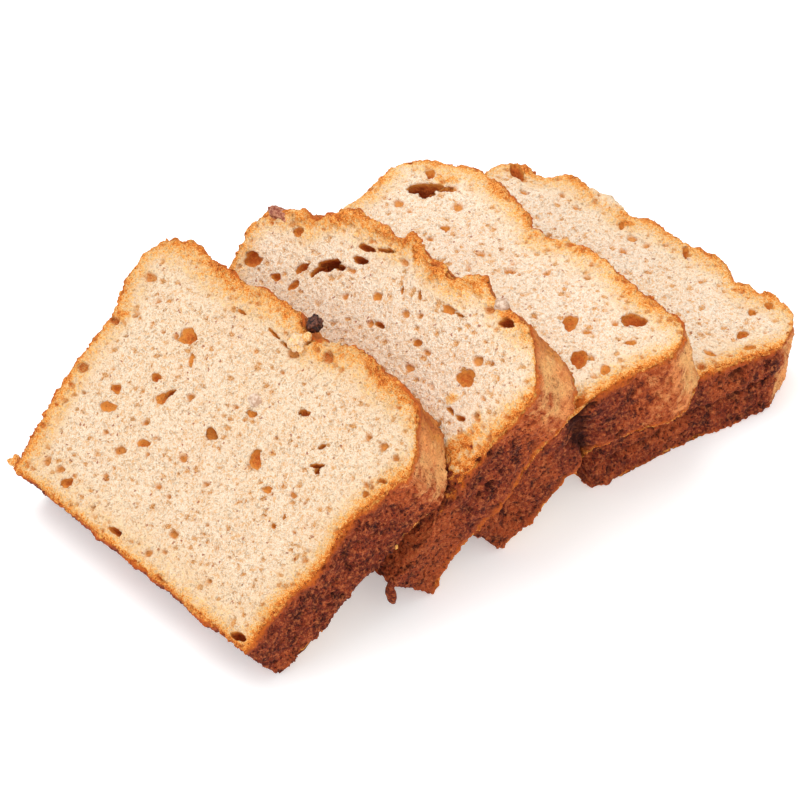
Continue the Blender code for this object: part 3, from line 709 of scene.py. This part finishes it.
def slice_mesh(index, slice_):
    """Return a slice's flat mesh in mm, with its outline, holes and what its material reads."""
    mesh = slab.copy()
    mesh.name = slice_["name"] + "_bread"

    # Stretch the slab between its two cut faces, and raise the bumps of the crust.
    u, v, w = points_of(mesh).T + 0.5
    near, far = face_patch(FACES[index], u, v), face_patch(FACES[index + 1], u, v)
    across_up = (1 - w[:, None]) * near + w[:, None] * far
    depth = w * thickness(slice_, across_up[:, 1])
    flat = np.column_stack([across_up, depth])
    tiny = 1e-4
    on_left, on_right, on_floor, on_top = u < tiny, u > 1 - tiny, v < tiny, v > 1 - tiny
    on_crust = on_left | on_right | on_floor | on_top
    on_front, on_back = w < tiny, w > 1 - tiny
    crust = on_crust.astype(float)
    own_grain = np.array([0, 0, GRAIN_STEP * index])
    shell = flat[on_crust] + own_grain
    bump = bump_at(shell, BROAD_BUMP) + 0.4 * bump_at(shell, SMALL_BUMP)
    bump *= np.where(on_top[on_crust], TOP_RELIEF, CRUST_RELIEF)
    outward = flat[on_crust, :2] - CORE
    outward /= np.linalg.norm(outward, axis=1, keepdims=True)
    flat[on_crust, :2] += outward * bump[:, None]
    flat[on_front, 2] += FACE_RELIEF * bump_at(flat[on_front] + own_grain, FACE_BUMP)
    loaf = flat + own_grain

    # Work out how each place is baked from how far it lies from the crust and the cuts.
    reach = dict(left=u * FACE_WIDTH, right=(1 - u) * FACE_WIDTH, floor=v * FACE_HEIGHT,
                 top=(1 - v) * FACE_HEIGHT)
    baked = np.max([BAKED_MOST[side] * np.exp(-(reach[side] / BAKED_DEPTH[side]) ** 1.3) for side in reach],
                   axis=0)
    from_back = thickness(slice_, flat[:, 1]) - depth
    rind = np.minimum(depth, 2 * from_back / max(slice_["torn"], 0.01))
    to_side = np.min(list(reach.values()), axis=0)
    baked = np.maximum(baked, LINING * np.exp(-to_side / LINING_DEPTH))
    baked *= np.where(on_back, BACK_BAKED - TORN_BAKED * min(slice_["torn"], 1), 1)
    to_edge = np.where(on_crust, np.minimum(depth, from_back), to_side)
    edge = np.exp(-(to_edge / FRAY_REACH) ** 2)
    edge *= np.where(depth < from_back, 1.0, 0.5 + 0.35 * slice_["torn"])
    to_lumps = np.where(on_crust, depth, np.minimum(reach["top"], 1.3 * reach["left"]))
    top_edge = np.exp(-(to_lumps / LUMP_REACH) ** 2) * (on_top | on_left | on_front) * slice_["lumpy"]
    shoulder = np.clip((v - slice_["pale_from"]) / (1 - slice_["pale_from"]), 0, 1)
    corners = 0.5 * np.exp(-(reach["right"] / CORNER_REACH) ** 2)
    corners += 0.25 * np.exp(-(reach["left"] / CORNER_REACH) ** 2)
    open_air = np.where(on_top, 1.0 - corners, (0.5 * on_right + 0.75 * on_left) * shoulder)

    # Rub the cut edges round, then press in what is this slice's own.
    away = flat[:, :2] - CORE
    away /= np.linalg.norm(away, axis=1, keepdims=True)
    for on_cut, past_cut, wide, way in ((on_front, depth, EDGE_ROUND, 1),
                                        (on_back, from_back, BACK_ROUND, -1)):
        along = np.where(on_crust, past_cut, np.where(on_cut, to_side, wide))
        rubbed = RUBBED_SHARE * wide * np.clip(1 - along / wide, 0, 1) ** 2
        flat[:, :2] -= away * rubbed[:, None]
        flat[:, 2] += way * rubbed
    press_marks(flat, depth, on_back, crust, baked, rind, MARKS[slice_["name"]])
    sunk = open_holes(flat, on_front & ~on_crust, HOLES[slice_["name"]])
    if slice_["name"] in FURROWS:
        furrow = press_furrow(flat, on_front, on_right, reach["right"], FURROWS[slice_["name"]])
        sunk = np.where(on_right, np.maximum(sunk, furrow), sunk)
        baked = np.maximum(baked, np.minimum(furrow, 1))

    # The pores are a little longer across the loaf than up it, at a slant.
    turned = np.column_stack([
        (loaf[:, 0] * math.cos(PORE_TILT) + loaf[:, 1] * math.sin(PORE_TILT)) / PORE_STRETCH,
        loaf[:, 1] * math.cos(PORE_TILT) - loaf[:, 0] * math.sin(PORE_TILT), loaf[:, 2]])
    mesh.vertices.foreach_set("co", flat.astype(np.float32).ravel())
    stored = dict(crust=crust, baked=baked, rind=rind, sunk=sunk, open_air=open_air, edge=edge,
                  top_edge=top_edge, painted_dim=np.full(len(flat), slice_["painted_dim"]), loaf=loaf, grain=turned)
    for name, values in stored.items():
        kind, channel = ("FLOAT", "value") if values.ndim == 1 else ("FLOAT_VECTOR", "vector")
        layer = mesh.attributes.new(name, kind, "POINT").data
        layer.foreach_set(channel, values.astype(np.float32).ravel())
    mesh.update()
    return mesh


finish_coat.inputs["Material"].default_value = bread
for index, slice_ in enumerate(SLICES):
    piece = add_object(slice_["name"] + "_bread", slice_mesh(index, slice_))
    piece.data = applied(piece, "NODES", node_group=relief)
    triangles = sum(len(face.vertices) - 2 for face in piece.data.polygons)
    piece.data = applied(piece, "DECIMATE", ratio=MOST_TRIANGLES / triangles)
    world = laid(slice_, points_of(piece.data))
    piece.data.vertices.foreach_set("co", world.astype(np.float32).ravel())
    piece.data.flip_normals()
    piece.data.shade_smooth()
    piece.data.update()
    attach(piece, "root")
    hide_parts(slice_["name"])


# The lumps that stand clear of the slices: a nub of crumb at the first slice's corner, a drip
# of batter that baked under the second one's, and two nuggets of crumb torn off beside the
# raisin. Same dough, so the same material.
LUMPS = (
    dict(slice="slice_1", centre=(-1.6, 1.8, 2.5), sizes=(4.6, 3.2, 3.8), roughness=0.6, baked=0.8, crust=0),
    dict(slice="slice_2", centre=(99.4, -2.0, 2.4), sizes=(3.4, 6.8, 3.2), roughness=0.2, baked=1.3, crust=1,
         hang=0.86, taper=0.45),
    dict(slice="slice_1", centre=(53.4, 75.6, -1), sizes=(5.6, 4.4, 3.2), roughness=0.5, baked=0.22, crust=0),
    dict(slice="slice_1", centre=(54.9, 78.4, -0.9), sizes=(3, 2.8, 2.4), roughness=0.5, baked=0.5, crust=0),
)
slice_called = {slice_["name"]: slice_ for slice_ in SLICES}


def knob(lump, steps, fineness):
    """Return the bmesh of a rough lump, laid on its slice; fineness is in mm."""
    shape = bmesh.new()
    bmesh.ops.create_icosphere(shape, subdivisions=steps, radius=0.5)
    flat = []
    for vertex in shape.verts:
        spot = Vector(lump["centre"]) + Vector([vertex.co[i] * lump["sizes"][i] for i in range(3)])
        folds = noise.noise(spot / fineness) + 0.4 * noise.noise(spot * 2.3 / fineness)
        swell = 1 + lump["roughness"] * folds
        narrowed = 1 - lump.get("taper", 0) * vertex.co[1] * 2
        across, up, depth = [vertex.co[i] * lump["sizes"][i] * swell for i in range(3)]
        across, depth = across * narrowed, depth * narrowed
        flat.append(Vector(lump["centre"]) + Vector((across, up, depth - lump.get("hang", 0) * up)))
    for vertex, spot in zip(shape.verts, laid(slice_called[lump["slice"]], np.array(flat))):
        vertex.co = spot
    return shape


def joined(name, lumps, **shares):
    """Join laid lumps into one mesh piece; shares are attributes with one value for each lump."""
    mesh, whole = bpy.data.meshes.new(name), bmesh.new()
    layers = {title: whole.verts.layers.float.new(title) for title in shares}
    for number, lump in enumerate(lumps):
        before = len(whole.verts)
        single = bpy.data.meshes.new("single_lump")
        lump.to_mesh(single)
        lump.free()
        whole.from_mesh(single)
        bpy.data.meshes.remove(single)
        whole.verts.ensure_lookup_table()
        for vertex in whole.verts[before:]:
            for title, layer in layers.items():
                vertex[layer] = shares[title][number]
    bmesh.ops.recalc_face_normals(whole, faces=whole.faces)
    whole.to_mesh(mesh)
    whole.free()
    mesh.shade_smooth()
    piece = add_object(name, mesh)
    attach(piece, "root")
    return piece


torn = joined("torn_lumps", [knob(lump, 4, 1.6) for lump in LUMPS],
              baked=[lump["baked"] for lump in LUMPS], crust=[lump["crust"] for lump in LUMPS],
              rind=[5.0 for _ in LUMPS], blotch=[0.5 for _ in LUMPS])
torn.data.materials.append(bread)


# The raisin on the first slice's dome: dried fruit, shrunk into sharp wrinkles by the oven, nearly
# black, with a dull sugary shine; its ridges are painted lighter as highlight, its hollows darker as shade.
RAISIN = dict(slice="slice_1", centre=(52.9, 82.8, 1.2), sizes=(4.8, 5.2, 4.4), roughness=0.35)


def dull_skin(name, low_colour, high_colour, fine_per_mm, roughness, depth):
    """Return a material that is darker in a noise's hollows than on its ridges; depth in mm."""
    material, tree, shader = new_material(name, {"Roughness": roughness, "Specular IOR Level": 0.25})
    folds = add_node(tree, "ShaderNodeTexNoise", {
        "Vector": place_in_mm(tree), "Scale": fine_per_mm, "Detail": 3.0,
        "Roughness": CLOUD_ROUGHNESS}).outputs[0]
    ridge = add_node(tree, "ShaderNodeMapRange", {
        "Value": folds, "From Min": 0.4, "From Max": 0.65}).outputs["Result"]
    colour = coated(tree, linear(low_colour), (linear(high_colour), ridge))
    tree.links.new(colour, shader.inputs["Base Color"])
    bump = add_node(tree, "ShaderNodeBump", {"Strength": 1.0, "Distance": depth * MM, "Height": folds})
    tree.links.new(bump.outputs["Normal"], shader.inputs["Normal"])
    return material


raisin = joined("raisin", [knob(RAISIN, 5, 1.3)])
raisin.data.materials.append(dull_skin("dried_raisin_skin", "#140605", "#7a4634", 1.3, 0.5, 0.4))


# The walnut: a brown-skinned piece stuck on the second slice's left shoulder, and bits
# that the knife cut through, which show their pale flesh on the faces.
WALNUT_PIECE = dict(slice="slice_2", centre=(0.6, 62.6, 1.6), sizes=(8.2, 3.8, 5.0), roughness=0.35)
WALNUT_BITS = (
    dict(slice="slice_1", centre=(53.0, 56.0, 0.3), sizes=(5.0, 3.8, 2.2), roughness=0.35),
    dict(slice="slice_1", centre=(36.0, 68.0, 0.5), sizes=(1.6, 1.2, 1.6), roughness=0.3),
    dict(slice="slice_2", centre=(83.0, 80.2, 0.6), sizes=(4.8, 3.8, 3.2), roughness=0.35),
    dict(slice="slice_2", centre=(62.0, 75.0, 0.4), sizes=(2.0, 1.4, 1.6), roughness=0.3),
    dict(slice="slice_4", centre=(63.0, 71.5, 0.4), sizes=(1.8, 1.4, 1.6), roughness=0.3),
)

walnut = joined("walnut_piece", [knob(WALNUT_PIECE, 4, 1.6)])
walnut.data.materials.append(dull_skin("toasted_walnut_skin", "#803a26", "#cf9272", 0.9, 0.6, 0.5))
cut_bits = joined("walnut_bits", [knob(bit, 3, 1.2) for bit in WALNUT_BITS])
cut_bits.data.materials.append(dull_skin("cut_walnut_flesh", "#b08c72", "#e4cdb8", 0.8, 0.55, 0.3))


# The crumbs that the knife rubbed off, stuck on along the cut edges and here and there on
# the faces. Each takes the colour of the place that it sticks to.
crumb_tree = new_tree("stuck_crumbs", edge_crumbs=1.1e5, face_crumbs=4000.0, seed=7,
                      smallest=0.18 * MM, largest=0.62 * MM, most_turn=6.28,
                      knobs_per_metre=1.4 / MM, knob_height=0.8 * MM)
sizes = add_node(crumb_tree, "NodeGroupInput").outputs
on_edge = add_node(crumb_tree, "GeometryNodeInputNamedAttribute", {"Name": "edge"}, data_type="FLOAT")
sown = add_node(crumb_tree, "GeometryNodeDistributePointsOnFaces", {
    "Mesh": sizes["Geometry"], "Seed": sizes["seed"],
    "Density": total(crumb_tree, (on_edge.outputs[0], sizes["edge_crumbs"]), (sizes["face_crumbs"], 1.0))})
chance = add_node(crumb_tree, "FunctionNodeRandomValue", {2: 0.0, 3: 1.0, "Seed": sizes["seed"]},
                  data_type="FLOAT").outputs[1]
rarely = add_node(crumb_tree, "ShaderNodeMath", {0: chance, 1: 3.0}, operation="POWER").outputs[0]
radius = add_node(crumb_tree, "ShaderNodeMapRange", {
    "Value": rarely, "To Min": sizes["smallest"], "To Max": sizes["largest"]}).outputs["Result"]
turned_by = add_node(crumb_tree, "FunctionNodeRandomValue", {
    0: (0, 0, 0), 1: sizes["most_turn"], "Seed": sizes["seed"]}, data_type="FLOAT_VECTOR").outputs[0]
ball = add_node(crumb_tree, "GeometryNodeMeshIcoSphere", {"Radius": 1.0, "Subdivisions": 2}).outputs["Mesh"]
stuck = add_node(crumb_tree, "GeometryNodeInstanceOnPoints", {
    "Points": sown.outputs["Points"], "Instance": ball, "Rotation": turned_by, "Scale": radius})
real = add_node(crumb_tree, "GeometryNodeRealizeInstances", {"Geometry": stuck.outputs["Instances"]})
spot = add_node(crumb_tree, "GeometryNodeInputPosition").outputs[0]
shaped = add_node(crumb_tree, "GeometryNodeSetPosition", {
    "Geometry": real.outputs["Geometry"],
    "Offset": push(crumb_tree, spot, sizes["knobs_per_metre"], sizes["knob_height"])})
coat = add_node(crumb_tree, "GeometryNodeSetMaterial", {
    "Geometry": shaped.outputs["Geometry"], "Material": bread})
add_node(crumb_tree, "NodeGroupOutput", {"Geometry": coat.outputs["Geometry"]})

crumbed = bmesh.new()
for slice_ in SLICES:
    crumbed.from_mesh(bpy.data.objects[slice_["name"] + "_bread"].data)
ground = bpy.data.meshes.new("stuck_crumbs")
crumbed.to_mesh(ground)
crumbed.free()
crumbs = add_object("stuck_crumbs", ground)
crumbs.data = applied(crumbs, "NODES", node_group=crumb_tree)
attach(crumbs, "root")


# The studio: a pale table without an edge in view, a broad soft key from the upper left,
# and weaker light from the right and from all round.
TABLE_REACH, TABLE_DROP = 4.0, 0.2 * MM      # the drop keeps the table clear of the slices' floors

floor_mesh = bpy.data.meshes.new("pale_table")
rim = [(x * TABLE_REACH, y * TABLE_REACH, 0) for x, y in ((-1, -1), (1, -1), (1, 1), (-1, 1))]
floor_mesh.from_pydata(rim, [], [(0, 1, 2, 3)])
table = add_object("pale_table", floor_mesh)
table.location.z = -TABLE_DROP
# The card glows faintly: painted light that lightens the shadows on the table and lights the slices a little
# from below.
floor_mesh.materials.append(new_material("matt_white_card_with_glow", {
    "Base Color": linear("#ececec"), "Roughness": 0.9, "Emission Color": (1, 1, 1, 1),
    "Emission Strength": 0.3})[0])


def add_light(name, place, size, power, colour):
    """Add a square soft light that faces the row of slices."""
    lamp = bpy.data.lights.new(name, "AREA")
    lamp.size, lamp.energy, lamp.color = size, power, linear(colour)[:3]
    holder = add_object(name, lamp)
    holder.location = place
    holder.rotation_euler = Vector(place).to_track_quat("Z", "Y").to_euler()


add_light("key_from_upper_left", (-0.45, -0.2, 1.5), 1.2, 14.5, "#ffffff")
add_light("fill_from_front", (-0.3, -1.3, 1.0), 1.2, 1.6, "#ffffff")
add_light("fill_from_right", (1.2, -0.6, 0.8), 1.2, 7.2, "#ffffff")

world = bpy.data.worlds.new("white_room")
bpy.context.scene.world = world
world.use_nodes = True
world.node_tree.nodes["Background"].inputs["Color"].default_value = (1, 1, 1, 1)
world.node_tree.nodes["Background"].inputs["Strength"].default_value = 0.84
bpy.context.scene.view_settings.view_transform = "Standard"
